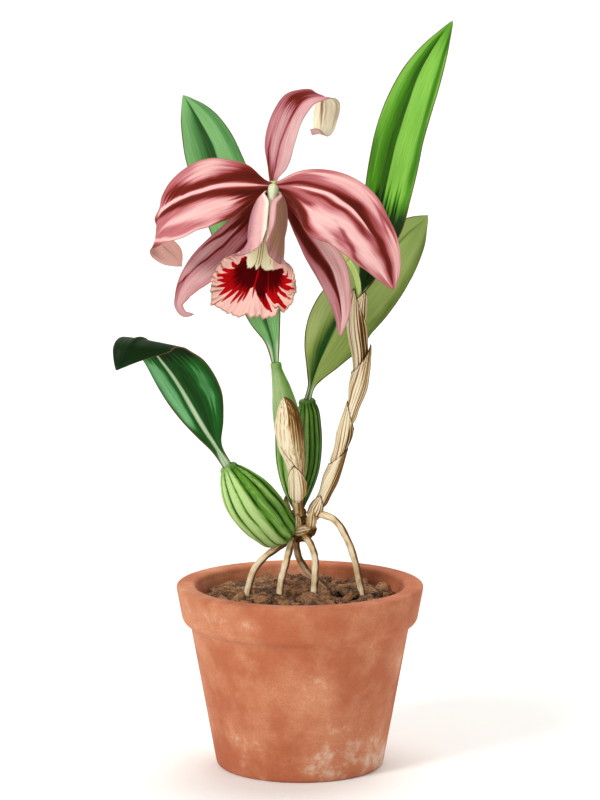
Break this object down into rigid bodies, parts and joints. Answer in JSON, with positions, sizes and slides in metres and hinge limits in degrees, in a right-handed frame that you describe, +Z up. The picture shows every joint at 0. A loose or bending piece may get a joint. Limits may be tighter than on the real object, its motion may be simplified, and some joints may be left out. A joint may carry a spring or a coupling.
{
  "type": "potted orchid plant",
  "caption": "Dwarf orchid in bloom with ribbed pseudobulbs, strap leaves, papery sheaths and arching roots, set in bark in a plain round clay pot that stands on its flat foot.",
  "frame": {"origin": "centre of the pot's flat foot, on the surface that the pot stands on", "axes": "+Z up along the pot's axis, -Y the way the bloom faces, +X to the right of someone who looks at the bloom"},
  "size_m": [0.1232, 0.092, 0.2748],
  "materials": {
    "terracotta": "unglazed matt fired clay",
    "bark": "rough matt bark chips",
    "root": "dry matt root skin",
    "rhizome": "dry scaly matt",
    "pseudobulb": "waxy satin, ribbed",
    "dry_sheath": "papery matt with fine lengthways fibres",
    "stem": "smooth satin",
    "leaf_bright": "waxy satin",
    "leaf_mid": "waxy satin",
    "leaf_olive": "waxy satin",
    "leaf_dark": "waxy satin",
    "sepal": "soft satin",
    "petal": "soft satin",
    "lip": "velvety satin",
    "column": "smooth satin"
  },
  "bodies": {
    "root": {"pot": "terracotta", "drainage_crocks": "terracotta", "bark_mix": "bark", "rhizome": "rhizome", "root_1": "root", "root_2": "root", "root_3": "root", "root_4": "root", "root_5": "root", "pseudobulb_left": "pseudobulb", "pseudobulb_centre": "pseudobulb", "pseudobulb_back": "pseudobulb", "bud_shoot": "dry_sheath", "bud_bract": "dry_sheath", "flowering_shoot": "stem", "shoot_sheath_1": "dry_sheath", "shoot_sheath_2": "dry_sheath", "shoot_sheath_3": "dry_sheath", "shoot_sheath_4": "dry_sheath", "shoot_sheath_5": "dry_sheath", "shoot_sheath_6": "dry_sheath", "leaf_tall": "leaf_bright", "leaf_upper_left": "leaf_mid", "leaf_back": "leaf_olive", "leaf_lower_left": "leaf_dark", "pedicel_and_ovary": "stem", "column": "column", "sepal_dorsal": "sepal", "sepal_left": "sepal", "sepal_right": "sepal", "petal_left": "petal", "petal_right": "petal", "lip": "lip"}
  },
  "joints": []
}
